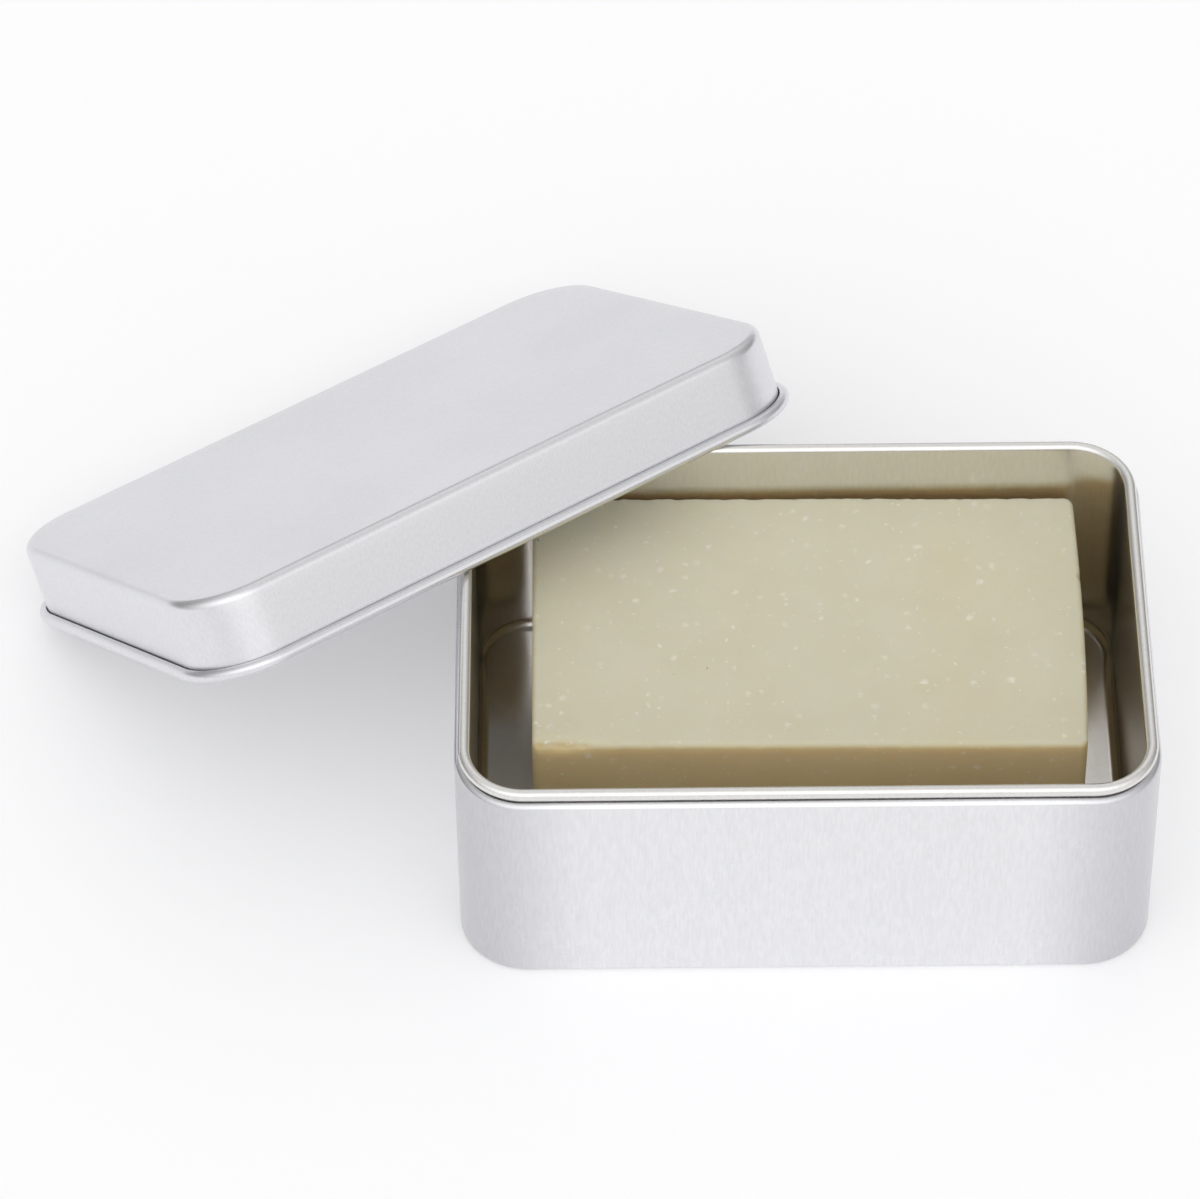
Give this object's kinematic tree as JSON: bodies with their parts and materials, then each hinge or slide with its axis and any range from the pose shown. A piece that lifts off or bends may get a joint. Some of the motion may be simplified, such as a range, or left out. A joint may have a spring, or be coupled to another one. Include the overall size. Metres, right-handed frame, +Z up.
{
  "type": "soap tin",
  "caption": "Rounded rectangular drawn tin with a curl-rimmed tray hung in it, holding a bar of soap, its slip lid leaning across the rim at a back corner.",
  "frame": {"origin": "on the table, under the middle of the box round the tin and the leaning lid", "axes": "+X along the tin's long side to the right as pictured, +Y to the tin's back, +Z up"},
  "size_m": [0.1658, 0.128, 0.048],
  "materials": {
    "tinplate": "satin rolled tinplate, bright on the curls",
    "soap": "cut soap, waxy and matt, with small pale specks"
  },
  "bodies": {
    "tin": {"tin_base": "tinplate"},
    "tray": {"tin_tray": "tinplate"},
    "lid": {"tin_lid": "tinplate"},
    "soap": {"soap_bar": "soap"}
  },
  "joints": [
    {"name": "lid_lift", "type": "slide", "parent": "tin", "child": "lid", "axis": [0, 0, 1], "range_m": [0, 0.09]},
    {"name": "tray_lift", "type": "slide", "parent": "tin", "child": "tray", "axis": [0, 0, 1], "range_m": [0, 0.036]},
    {"name": "soap_lift", "type": "slide", "parent": "tray", "child": "soap", "axis": [0, 0, 1], "range_m": [0, 0.036]}
  ],
  "couplings": [
    {"joint": "tray_lift", "follows": "lid_lift", "ratio": 0.4},
    {"joint": "soap_lift", "follows": "lid_lift", "ratio": 0.4}
  ]
}
